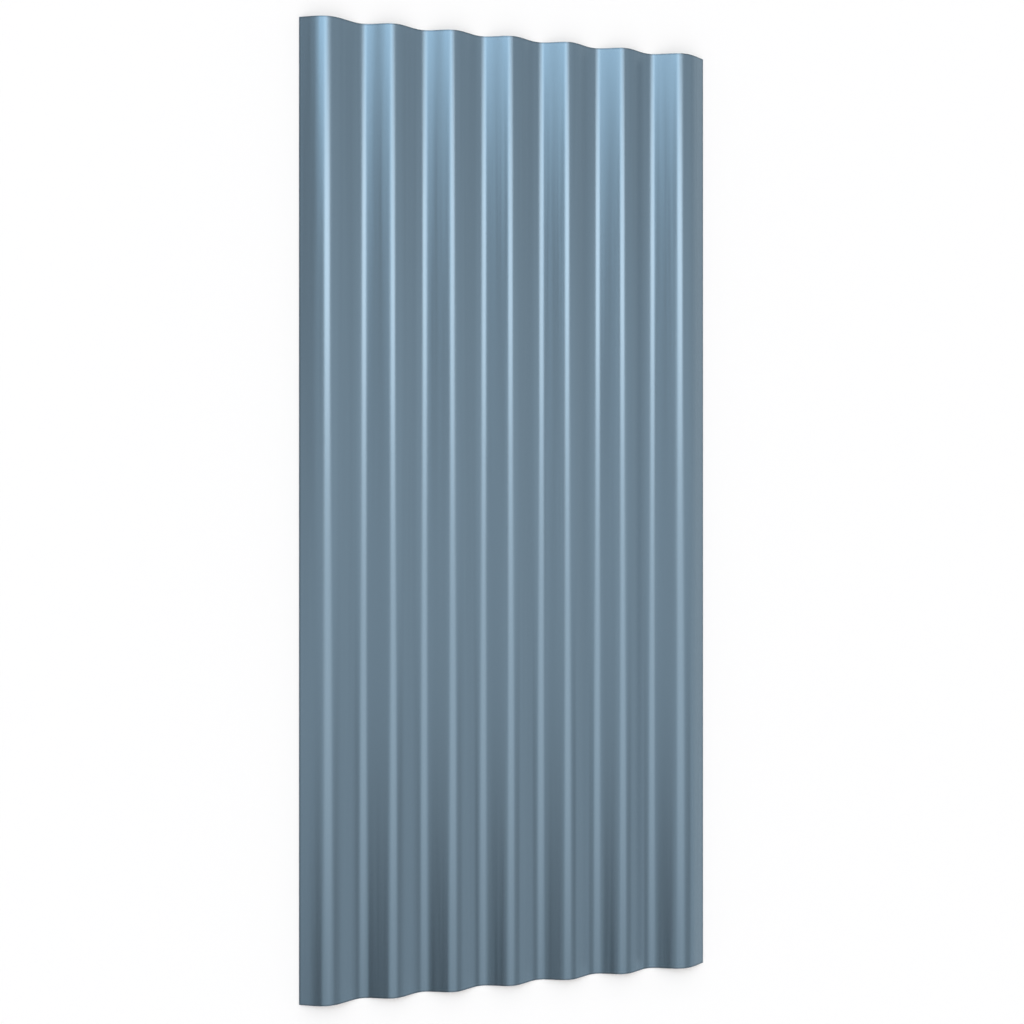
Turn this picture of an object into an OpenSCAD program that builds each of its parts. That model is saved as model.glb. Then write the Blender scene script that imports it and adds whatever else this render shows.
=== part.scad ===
// Corrugated metal sheet: painted steel strip, rolled into waves that run along its length.
// The outermost crest on each side is a lap crest, taller and wider than the inner ones, so that it
// fits over the neighbouring sheet. From it the steel runs straight down to the side edge.
// The sheet lies flat on its valleys. X runs across the waves, Y along them and Z up, in millimetres.
// The origin is on the floor under the middle of the sheet.

/* [Sheet] */
// Length of the sheet, along its waves
sheet_length = 1000; // [200:10:3000]
// Thickness of the painted steel
gauge = 0.5; // [0.3:0.05:1.2]

/* [Waves] */
// Number of inner crests, between the two lap crests
crest_count = 5; // [1:1:15]
// Distance from one inner crest to the next
pitch = 64; // [55:1:100]
// Height from the underside of a valley to the top of an inner crest
depth = 11.5; // [8:0.5:18]
// Radius of a valley or an inner crest, at the middle of the steel
bend_radius = 20; // [8:0.5:24]

/* [Side laps] */
// Distance across the waves from the last valley to the top of the lap crest
lap_reach = 36.5; // [30:0.5:60]
// How far the lap crest rises above the inner crests
lap_rise = 2; // [0:0.5:5]
// Radius of the lap crest, at the middle of the steel
lap_radius = 25; // [8:0.5:40]
// Distance across the waves from the top of the lap crest to the side edge
edge_reach = 28.5; // [25:0.5:60]
// Height of the side edge above the floor that the valleys rest on
edge_lift = 0.2; // [0:0.1:3]

/* [Hidden] */
$fn = 180;
paint = [0.41, 0.49, 0.55];

// Places across the waves, from the middle of the sheet
half_pitch = pitch / 2;
last_valley_x = crest_count * half_pitch;
lap_x = last_valley_x + lap_reach;
side_x = lap_x + edge_reach;

// Heights of the middle of the steel
valley_level = gauge / 2;
crest_level = depth - gauge / 2;
lap_level = crest_level + lap_rise;

// Two bends whose radii add up to this would meet, with no straight flank left between them
function flankless_radii(run, drop) = (pow(run, 2) + pow(drop, 2)) / (2 * drop);
roundest_share = 0.95;
bend_r = min(
    bend_radius,
    roundest_share * flankless_radii(half_pitch, crest_level - valley_level) / 2
);
lap_r = min(
    lap_radius,
    roundest_share * flankless_radii(lap_reach, lap_level - valley_level) - bend_r,
    roundest_share * flankless_radii(edge_reach, lap_level - edge_lift)
);

// Bends are counted from the middle of the sheet, with a lap crest as the last on each side
lap_bend = crest_count + 1;
bends = [-lap_bend : lap_bend];

function is_lap(bend) = abs(bend) == lap_bend;
function is_crest(bend) = (lap_bend - abs(bend)) % 2 == 0;
function sense(bend) = is_crest(bend) ? 1 : -1;
function bend_x(bend) = is_lap(bend) ? sign(bend) * lap_x : bend * half_pitch;
function level(bend) = is_lap(bend) ? lap_level : is_crest(bend) ? crest_level : valley_level;
function radius(bend) = is_lap(bend) ? lap_r : bend_r;
function bend_centre(bend) = [bend_x(bend), level(bend) - sense(bend) * radius(bend)];

// A flank is the straight stretch that touches the circles of two neighbouring bends
function flank_slope(bend, next_bend) =
    let (
        run = abs(bend_x(bend) - bend_x(next_bend)),
        radii = radius(bend) + radius(next_bend),
        lift = radii - abs(level(bend) - level(next_bend))
    )
    asin(radii / norm([run, lift])) - atan2(lift, run);

// The edge flank touches the lap crest and ends in the foot of the side edge
foot_way = [side_x, edge_lift] - bend_centre(lap_bend);
edge_slope = atan2(foot_way.x, foot_way.y) - acos((lap_r - gauge / 2) / norm(foot_way));

function slope_beside(bend, side) =
    is_lap(bend) && side == sign(bend) ? edge_slope : flank_slope(bend, bend + side);

// Each flank ends a hair inside the circles, so that it crosses them instead of only touching
nip = 0.002;

// The wave is made this far past the edges of the sheet and then trimmed
trim_margin = 1;
block_x = side_x + trim_margin;
block_floor = -2 * max(bend_r, lap_r);

// A skin is one face of the steel, named by its height above the middle of the steel
function skin_radius(bend, skin) = radius(bend) + sense(bend) * skin;
function flank_end(bend, side, skin) =
    let (slope = slope_beside(bend, side))
    bend_centre(bend)
        + (skin_radius(bend, skin) - nip) * [side * sin(slope), sense(bend) * cos(slope)];
function edge_end(side, skin) =
    let (start = flank_end(side * lap_bend, side, skin))
    start + (block_x - abs(start.x)) * [side, -tan(edge_slope)];

// Runs a flat outline along the waves, past both ends of the sheet
module along_waves() {
    rotate([90, 0, 0])
        linear_extrude(sheet_length + 2 * trim_margin, center = true)
            children();
}

// The round bar that a bend of one skin is rolled over
module bend_bar(bend, skin) {
    along_waves()
        translate(bend_centre(bend))
            circle(r = skin_radius(bend, skin));
}

// The block whose top is made of one skin's flanks
module flank_block(skin) {
    flank_ends = [for (bend = bends, side = [-1, 1]) flank_end(bend, side, skin)];
    left_side = [[-block_x, block_floor], edge_end(-1, skin)];
    right_side = [edge_end(1, skin), [block_x, block_floor]];
    along_waves()
        polygon(concat(left_side, flank_ends, right_side));
}

// All that lies below one skin: the block, with bars added at crests and cut out at valleys
module below_skin(skin) {
    difference() {
        union() {
            flank_block(skin);
            for (bend = bends)
                if (is_crest(bend)) bend_bar(bend, skin);
        }
        for (bend = bends)
            if (!is_crest(bend)) bend_bar(bend, skin);
    }
}

// The space that the sheet is trimmed to, taller than the waves
module trim_box() {
    translate([-side_x, -sheet_length / 2, -trim_margin])
        cube([2 * side_x, sheet_length, depth + lap_rise + 2 * trim_margin]);
}

// The sheet is the steel between its two skins
module corrugated_sheet() {
    color(paint)
        difference() {
            intersection() {
                below_skin(gauge / 2);
                trim_box();
            }
            below_skin(-gauge / 2);
        }
}

corrugated_sheet();
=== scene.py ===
"""A corrugated metal sheet, lying flat: its fine mesh, its painted finish, studio light, floor and camera.

Lengths are in metres. X runs across the waves, Y along them and Z up from the floor.
"""

import math
from collections import namedtuple

import bpy
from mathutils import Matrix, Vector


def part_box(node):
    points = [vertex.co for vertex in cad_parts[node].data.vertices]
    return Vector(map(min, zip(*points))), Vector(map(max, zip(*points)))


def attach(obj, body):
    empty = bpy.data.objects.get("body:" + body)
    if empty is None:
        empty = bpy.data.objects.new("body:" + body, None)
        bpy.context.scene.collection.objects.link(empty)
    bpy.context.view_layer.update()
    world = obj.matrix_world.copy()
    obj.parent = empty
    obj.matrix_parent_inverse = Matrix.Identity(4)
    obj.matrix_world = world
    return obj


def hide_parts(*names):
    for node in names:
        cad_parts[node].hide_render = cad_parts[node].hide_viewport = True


NODE = "corrugated_sheet"
BODY = "root"

# Sizes of the sheet
GAUGE = 0.0005  # thickness of the painted steel
CREST_COUNT = 5  # inner crests, between the two lap crests
PITCH = 0.064  # from one inner crest to the next
DEPTH = 0.0115  # from the underside of a valley to the top of an inner crest
BEND_RADIUS = 0.020  # of a valley or an inner crest, at the middle of the steel
LAP_REACH = 0.0365  # across the waves, from the last valley to the top of the lap crest
LAP_RISE = 0.002  # of the lap crest above the inner crests
LAP_RADIUS = 0.025  # of the lap crest, at the middle of the steel
EDGE_LIFT = 0.0002  # of the side edge above the floor
FLANK_EASE = math.radians(5.0)  # by which a bend ends short of its flank's slope, so that the two blend
CUT_CHAMFER = 0.0001  # round the cut edges

# Fineness of the mesh, and the angle from which an edge is shaded sharp
ARC_STEPS = 24
FLANK_STEPS = 10
LENGTH_STEPS = 25
SHARP_ANGLE = math.radians(20)

# Finish of the paint, in linear colours. A rim of painted shade along the edges is darker and fades out
# over a pair of distances from them. The streaks set colour and roughness, over a pair of levels of their
# noise.
PAINT_DARK = (0.156, 0.223, 0.277, 1)
PAINT_LIGHT = (0.165, 0.235, 0.291, 1)
PAINT_METALLIC = 0.85
PAINT_ROUGHNESS = (0.20, 0.26)
STREAK_WIDTH = 0.005
STREAK_LENGTH = 0.45
STREAK_DETAIL = 3
STREAK_LEVELS = (0.3, 0.7)
GRAIN_SIZE = 0.0012
GRAIN_DETAIL = 2
GRAIN_HEIGHT = 0.0000005
RIPPLE_WIDTH = 0.0125
RIPPLE_LENGTH = 0.05
RIPPLE_DETAIL = 1
RIPPLE_HEIGHT = 0.00003
# Painted shade along the edges: the distances over which it fades out, and the share of the colour it
# leaves
RIM_PAINTED_SHADE_FADE = (0.0009, 0.0018)
RIM_PAINTED_SHADE = 0.7

# Finish of the cut edges
STEEL_DARK = (0.20, 0.21, 0.22, 1)
STEEL_LIGHT = (0.42, 0.43, 0.44, 1)
STEEL_ROUGHNESS = 0.42
STEEL_MARK_SIZE = 0.0008
STEEL_MARK_DETAIL = 3
STEEL_MARK_HEIGHT = 0.0000005

# Studio light. Tilt is a direction's angle across the waves, in degrees from straight up towards +X, and
# along is the sine of its lean towards +Y. A pair gives where a change starts and where it is complete.
Patch = namedtuple("Patch", "level tilt_rise tilt_fall along_rise along_fall")
FILL_LEVEL = 0.81
FILL_TINT = (0.975, 1.0, 1.03, 1)
FILL_PATCHES = {
    "lift over the middle": Patch(0.13, (-90, -80), (90, 80), (-0.45, -0.05), (0.30, 0.05)),
    "glow right of the strip": Patch(0.11, (12, 24), (66, 40), (-0.20, -0.06), (0.26, 0.14)),
    "dim left": Patch(-0.26, (-56, -44), (-14, -27), (-0.02, 0.26), (0.31, 0.26)),
    "dim far left": Patch(-0.25, (-90, -80), (-42, -52), (-0.15, 0.08), (0.75, 0.50)),
    "gap on the near left": Patch(-0.77, (-56, -44), (-20, -30), (-0.60, -0.42), (-0.13, -0.31)),
    "gap on the near right": Patch(-0.32, (20, 42), (66, 54), (-0.60, -0.42), (-0.04, -0.19)),
    "dim near end": Patch(-0.13, (-30, -22), (50, 36), (-0.60, -0.42), (-0.26, -0.32)),
}
# The strip's middle and half width, in degrees, change over STRIP_TURN, which is a range of along. The
# tilts of its patches are counted from its middle, in half widths.
STRIP_TINT = (1.08, 1.0, 0.97, 1)
STRIP_TURN = (-0.20, 0.15)
STRIP_MIDDLES = (5.0, 0.5)
STRIP_HALVES = (18.5, 12.5)
STRIP_EDGES = ((-1.35, -0.65), (1.35, 0.65))
STRIP_PATCHES = {
    "long part": Patch(0.73, *STRIP_EDGES, (-0.34, -0.15), (0.33, 0.21)),
    "bright part": Patch(2.45, *STRIP_EDGES, (-0.03, 0.19), (0.33, 0.22)),
}
END_TINT = (0.82, 1.0, 1.13, 1)
END_PATCHES = {"box": Patch(2.65, (-48.5, -35), (8, -10), (0.243, 0.325), (0.75, 0.50))}
# The horizon is white, and gives way to the fill as the sine of the elevation goes over HORIZON_BAND
HORIZON_TINT = (1.0, 1.0, 1.0, 1)
HORIZON_LEVEL = 1.0
HORIZON_BAND = (0.06, 0.22)

# Floor
FLOOR_HALF = 30.0
FLOOR_COLOUR = (0.96, 0.923, 0.892, 1)
FLOOR_ROUGHNESS = 0.8

# Camera, turned about the length of the sheet
CAMERA_TURN = math.radians(18.40)
CAMERA_PLACE = (-0.4974, -0.0011, 1.5022)
CAMERA_LENS = 52.48
CAMERA_SENSOR = 36.0

# A bend's level is the height of the middle of the steel, and its sense is 1 for a crest, -1 for a valley
Bend = namedtuple("Bend", "x level radius sense")


def make_bends(side_x):
    """The bends from left to right, and the slopes of the straight lines that touch them, in turn."""
    valley_level = GAUGE / 2
    crest_level = DEPTH - GAUGE / 2
    inner = []
    for place in range(-CREST_COUNT, CREST_COUNT + 1):
        is_crest = (CREST_COUNT + 1 - place) % 2 == 0
        level = crest_level if is_crest else valley_level
        inner.append(Bend(place * PITCH / 2, level, BEND_RADIUS, 1 if is_crest else -1))
    lap_x = inner[-1].x + LAP_REACH
    right_lap = Bend(lap_x, crest_level + LAP_RISE, LAP_RADIUS, 1)
    bends = [right_lap._replace(x=-lap_x), *inner, right_lap]
    flanks = [flank_slope(bend, after) for bend, after in zip(bends, bends[1:])]
    edge = edge_slope(right_lap, side_x)
    return bends, [edge, *flanks, edge]


def flank_slope(bend, after):
    """Slope of the straight line that touches the circles of two neighbouring bends."""
    run = after.x - bend.x
    radii = bend.radius + after.radius
    lift = radii - abs(bend.level - after.level)
    return math.asin(radii / math.hypot(run, lift)) - math.atan2(lift, run)


def edge_slope(lap, side_x):
    """Slope of the straight line that touches the lap crest and ends in the foot of the side edge."""
    foot_x = side_x - lap.x
    foot_z = EDGE_LIFT - (lap.level - lap.radius)
    inner_radius = lap.radius - GAUGE / 2
    return math.atan2(foot_x, foot_z) - math.acos(inner_radius / math.hypot(foot_x, foot_z))


def arc(bend, before, after, skin):
    """Points of a bend in one face of the steel. It ends short of the slopes on both sides of it."""
    radius = bend.radius + bend.sense * skin
    centre_z = bend.level - bend.sense * bend.radius
    first = FLANK_EASE - before
    last = after - FLANK_EASE
    angles = [first + (last - first) * step / ARC_STEPS for step in range(ARC_STEPS + 1)]
    return [(bend.x + radius * math.sin(a), centre_z + bend.sense * radius * math.cos(a)) for a in angles]


def flank(start, end, gradient, eased):
    """Points of a flank, without its ends. At an end that is eased (1) it has this gradient, and at one
    that isn't (0) it runs along the straight line from end to end.
    """
    run = end[0] - start[0]
    rise = end[1] - start[1]
    bow = gradient * run - rise
    points = []
    for step in range(1, FLANK_STEPS):
        there = step / FLANK_STEPS
        back = 1 - there
        lift = bow * there * back * (eased[0] * back - eased[1] * there)
        points.append((start[0] + there * run, start[1] + there * rise + lift))
    return points


def skin_line(bends, slopes, skin, reach):
    """Points of one face of the steel, at a height above its middle, out to a reach on each side."""
    arcs = [arc(bend, before, after, skin) for bend, before, after in zip(bends, slopes, slopes[1:])]
    gradients = [math.tan(slope - FLANK_EASE) for slope in slopes]

    # The side edges lie on the straight lines that touch the lap crests
    lap = bends[-1]
    edge = slopes[-1]
    fall = ((reach - lap.x) * math.sin(edge) - (lap.radius + skin)) / math.cos(edge)
    left, right = [(x, lap.level - lap.radius - fall) for x in (-reach, reach)]

    points = [left, *flank(left, arcs[0][0], gradients[0], (0, 1)), *arcs[0]]
    for bend, gradient, bend_arc in zip(bends[1:], gradients[1:], arcs[1:]):
        points += flank(points[-1], bend_arc[0], bend.sense * gradient, (1, 1))
        points += bend_arc
    points += [*flank(points[-1], right, -gradients[-1], (1, 0)), right]
    return points


def section(bends, slopes, half_gauge, side_x):
    """Upper and lower points of a cross-section, with its two side edges chamfered."""
    faces = []
    for sense in (1, -1):
        inner = skin_line(bends, slopes, sense * half_gauge, side_x - CUT_CHAMFER)
        outer = skin_line(bends, slopes, sense * (half_gauge - CUT_CHAMFER), side_x)
        faces.append([outer[0], *inner, outer[-1]])
    return faces


def sheet_quads(last_ring, last_column):
    """Corner numbers of the painted faces, and of the cut ones: the chamfers, ends and side edges."""
    columns = last_column + 1
    painted, cut = [], []

    def upper(ring, column):
        return ring * 2 * columns + column

    def lower(ring, column):
        return upper(ring, column) + columns

    def wall(start, end):
        return [lower(*start), lower(*end), upper(*end), upper(*start)]

    for ring in range(last_ring):
        for column in range(last_column):
            corners = [(ring, column), (ring, column + 1), (ring + 1, column + 1), (ring + 1, column)]
            is_chamfer = ring in (0, last_ring - 1) or column in (0, last_column - 1)
            skins = cut if is_chamfer else painted
            skins.append([upper(*corner) for corner in corners])
            skins.append([lower(*corner) for corner in reversed(corners)])
    for column in range(last_column):
        cut.append(wall((0, column), (0, column + 1)))
        cut.append(wall((last_ring, column + 1), (last_ring, column)))
    for ring in range(last_ring):
        cut.append(wall((ring + 1, 0), (ring, 0)))
        cut.append(wall((ring, last_column), (ring + 1, last_column)))
    return painted, cut


def make_sheet(half_length, side_x):
    """The sheet as one closed mesh: two skins, with cut edges round them that take the second material."""
    bends, slopes = make_bends(side_x)
    full = section(bends, slopes, GAUGE / 2, side_x)
    thinned = section(bends, slopes, GAUGE / 2 - CUT_CHAMFER, side_x)
    inner_half = half_length - CUT_CHAMFER
    inner_rings = [inner_half * (2 * step / LENGTH_STEPS - 1) for step in range(LENGTH_STEPS + 1)]
    rings = [(-half_length, thinned), *[(y, full) for y in inner_rings], (half_length, thinned)]
    verts = [(x, y, z) for y, faces in rings for face in faces for x, z in face]
    painted, cut = sheet_quads(len(rings) - 1, len(full[0]) - 1)

    mesh = bpy.data.meshes.new("painted_sheet")
    mesh.from_pydata(verts, [], painted + cut)
    for index, polygon in enumerate(mesh.polygons):
        polygon.use_smooth = True
        polygon.material_index = 0 if index < len(painted) else 1
    mesh.set_sharp_from_angle(angle=SHARP_ANGLE)
    return add_object("painted_sheet", mesh)


def add_object(name, data):
    """A new object in the scene, at the origin."""
    thing = bpy.data.objects.new(name, data)
    bpy.context.scene.collection.objects.link(thing)
    return thing


class Shader:
    """Adds nodes to a material's or the world's node tree and wires them up."""

    def __init__(self, owner):
        owner.use_nodes = True
        self.tree = owner.node_tree
        self.tree.nodes.clear()

    def add(self, kind, **settings):
        """A new node of this kind."""
        node = self.tree.nodes.new(kind)
        for name, value in settings.items():
            setattr(node, name, value)
        return node

    def wire(self, socket, value):
        """Links a socket to another node's output, or sets a constant on it."""
        if isinstance(value, bpy.types.NodeSocket):
            self.tree.links.new(value, socket)
        else:
            socket.default_value = value

    def maths(self, operation, *values):
        """The result of one operation on values."""
        node = self.add("ShaderNodeMath", operation=operation)
        for socket, value in zip(node.inputs, values):
            self.wire(socket, value)
        return node.outputs[0]

    def blend(self, value, start, end, low=0.0, high=1.0):
        """Goes smoothly from low to high as the value goes from start to end."""
        node = self.add("ShaderNodeMapRange", interpolation_type="SMOOTHSTEP")
        for name, number in (("From Min", start), ("From Max", end), ("To Min", low), ("To Max", high)):
            self.wire(node.inputs[name], number)
        self.wire(node.inputs["Value"], value)
        return node.outputs["Result"]

    def noise(self, coordinates, sizes, detail):
        """Noise whose blotches have these sizes along X, Y and Z."""
        scaled = self.add("ShaderNodeMapping")
        self.wire(scaled.inputs["Vector"], coordinates)
        scaled.inputs["Scale"].default_value = [1 / size for size in sizes]
        node = self.add("ShaderNodeTexNoise")
        self.wire(node.inputs["Vector"], scaled.outputs["Vector"])
        node.inputs["Scale"].default_value = 1
        node.inputs["Detail"].default_value = detail
        return node.outputs["Fac"]

    def mix(self, share, first, second, blend_type="MIX"):
        """A colour made of two, with this share of the second."""
        node = self.add("ShaderNodeMix", data_type="RGBA", blend_type=blend_type)
        colours = [socket for socket in node.inputs if socket.type == "RGBA"]
        self.wire(node.inputs["Factor"], share)
        for socket, value in zip(colours, (first, second)):
            self.wire(socket, value)
        return next(socket for socket in node.outputs if socket.type == "RGBA")

    def bump(self, height, distance, normal=None):
        """The normal of a surface with this relief, on top of another normal where one is given."""
        node = self.add("ShaderNodeBump")
        node.inputs["Strength"].default_value = 1
        node.inputs["Distance"].default_value = distance
        self.wire(node.inputs["Height"], height)
        if normal is not None:
            self.wire(node.inputs["Normal"], normal)
        return node.outputs["Normal"]

    def surface(self, **values):
        """A Principled surface, with its sockets named in words joined by underscores."""
        node = self.add("ShaderNodeBsdfPrincipled")
        for name, value in values.items():
            self.wire(node.inputs[name.replace("_", " ")], value)
        output = self.add("ShaderNodeOutputMaterial")
        self.wire(output.inputs["Surface"], node.outputs["BSDF"])

    def glow(self, tint, level):
        """Light of one tint from the world."""
        node = self.add("ShaderNodeBackground")
        node.inputs["Color"].default_value = tint
        self.wire(node.inputs["Strength"], level)
        return node.outputs[0]

    def both(self, first, second):
        """The sum of two lights."""
        node = self.add("ShaderNodeAddShader")
        self.wire(node.inputs[0], first)
        self.wire(node.inputs[1], second)
        return node.outputs[0]


def make_paint(half_length, side_x):
    """Semi-gloss metallic paint, with faint streaks along the waves and a rim of painted shade at the
    edges.
    """
    material = bpy.data.materials.new("painted_steel")
    shader = Shader(material)
    place = shader.add("ShaderNodeTexCoord").outputs["Object"]
    axes = shader.add("ShaderNodeSeparateXYZ")
    shader.wire(axes.inputs[0], place)

    streaks = shader.noise(place, (STREAK_WIDTH, STREAK_LENGTH, STREAK_WIDTH), STREAK_DETAIL)
    colour = shader.mix(shader.blend(streaks, *STREAK_LEVELS), PAINT_DARK, PAINT_LIGHT)

    # Painted shade: the colour is darkened near the ends and side edges, fading out inwards
    end_gap = shader.maths("SUBTRACT", half_length, shader.maths("ABSOLUTE", axes.outputs["Y"]))
    side_gap = shader.maths("SUBTRACT", side_x, shader.maths("ABSOLUTE", axes.outputs["X"]))
    gap = shader.maths("MINIMUM", end_gap, side_gap)
    painted_rim_shade = shader.blend(gap, *RIM_PAINTED_SHADE_FADE, RIM_PAINTED_SHADE, 1)
    colour = shader.mix(1.0, colour, painted_rim_shade, "MULTIPLY")

    grain = shader.noise(place, (GRAIN_SIZE,) * 3, GRAIN_DETAIL)
    ripple = shader.noise(place, (RIPPLE_WIDTH, RIPPLE_LENGTH, RIPPLE_WIDTH), RIPPLE_DETAIL)
    shader.surface(
        Base_Color=colour,
        Metallic=PAINT_METALLIC,
        Roughness=shader.blend(streaks, *STREAK_LEVELS, *PAINT_ROUGHNESS),
        Normal=shader.bump(grain, GRAIN_HEIGHT, shader.bump(ripple, RIPPLE_HEIGHT)),
    )
    return material


def make_cut_steel():
    """Bare sheared steel, grey with short marks."""
    material = bpy.data.materials.new("cut_steel")
    shader = Shader(material)
    place = shader.add("ShaderNodeTexCoord").outputs["Object"]
    marks = shader.noise(place, (STEEL_MARK_SIZE,) * 3, STEEL_MARK_DETAIL)
    shader.surface(
        Base_Color=shader.mix(marks, STEEL_DARK, STEEL_LIGHT),
        Metallic=1.0,
        Roughness=STEEL_ROUGHNESS,
        Normal=shader.bump(marks, STEEL_MARK_HEIGHT),
    )
    return material


def make_floor():
    """A plain pale floor at the height that the valleys rest on."""
    corners = [(-1, -1), (1, -1), (1, 1), (-1, 1)]
    mesh = bpy.data.meshes.new("floor")
    mesh.from_pydata([(FLOOR_HALF * x, FLOOR_HALF * y, 0) for x, y in corners], [], [(0, 1, 2, 3)])
    material = bpy.data.materials.new("floor")
    Shader(material).surface(Base_Color=FLOOR_COLOUR, Roughness=FLOOR_ROUGHNESS)
    mesh.materials.append(material)
    return add_object("floor", mesh)


def add_patches(shader, level, tilt, along, patches):
    """A level of light with patches added to it, each of which fades out round its ranges."""
    for patch in patches.values():
        tilt_share = shader.maths(
            "MULTIPLY", shader.blend(tilt, *patch.tilt_rise), shader.blend(tilt, *patch.tilt_fall)
        )
        along_share = shader.maths(
            "MULTIPLY", shader.blend(along, *patch.along_rise), shader.blend(along, *patch.along_fall)
        )
        share = shader.maths("MULTIPLY", tilt_share, along_share)
        level = shader.maths("MULTIPLY_ADD", share, patch.level, level)
    return level


def make_light():
    """A soft studio dome: a fill, a strip overhead, a cooler box beyond the +Y end and a white horizon."""
    world = bpy.data.worlds.new("studio")
    bpy.context.scene.world = world
    shader = Shader(world)
    direction = shader.add("ShaderNodeSeparateXYZ")
    shader.wire(direction.inputs[0], shader.add("ShaderNodeTexCoord").outputs["Generated"])
    across, along, up = direction.outputs
    tilt = shader.maths("MULTIPLY", shader.maths("ARCTAN2", across, up), math.degrees(1))

    strip_middle = shader.blend(along, *STRIP_TURN, *STRIP_MIDDLES)
    strip_half = shader.blend(along, *STRIP_TURN, *STRIP_HALVES)
    strip_tilt = shader.maths("DIVIDE", shader.maths("SUBTRACT", tilt, strip_middle), strip_half)

    dome = add_patches(shader, FILL_LEVEL, tilt, along, FILL_PATCHES)
    fill = shader.maths("MULTIPLY", dome, shader.blend(up, *HORIZON_BAND))
    horizon = shader.blend(up, *HORIZON_BAND, HORIZON_LEVEL, 0.0)
    strip = add_patches(shader, 0.0, strip_tilt, along, STRIP_PATCHES)
    end = add_patches(shader, 0.0, tilt, along, END_PATCHES)

    light = shader.both(shader.glow(FILL_TINT, fill), shader.glow(HORIZON_TINT, horizon))
    light = shader.both(light, shader.glow(STRIP_TINT, strip))
    light = shader.both(light, shader.glow(END_TINT, end))
    output = shader.add("ShaderNodeOutputWorld")
    shader.wire(output.inputs["Surface"], light)


def make_camera():
    """The camera looks down on the sheet, as the photograph's does once the sheet is laid flat."""
    data = bpy.data.cameras.new("camera")
    data.sensor_width = CAMERA_SENSOR
    data.lens = CAMERA_LENS
    camera = add_object("camera", data)
    camera.location = CAMERA_PLACE
    camera.rotation_euler = (0, -CAMERA_TURN, 0)
    bpy.context.scene.camera = camera


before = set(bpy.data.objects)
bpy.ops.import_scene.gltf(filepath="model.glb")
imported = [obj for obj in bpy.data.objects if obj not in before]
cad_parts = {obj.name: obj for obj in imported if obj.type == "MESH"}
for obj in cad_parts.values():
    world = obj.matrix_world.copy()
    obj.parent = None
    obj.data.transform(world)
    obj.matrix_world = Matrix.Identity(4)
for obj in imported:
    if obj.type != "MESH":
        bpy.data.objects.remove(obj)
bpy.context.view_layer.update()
_, node_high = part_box(NODE)

make_camera()
make_light()
make_floor()

sheet = make_sheet(node_high.y, node_high.x)
sheet.data.materials.append(make_paint(node_high.y, node_high.x))
sheet.data.materials.append(make_cut_steel())
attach(sheet, BODY)
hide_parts(NODE)

bpy.context.scene.view_settings.view_transform = "Standard"
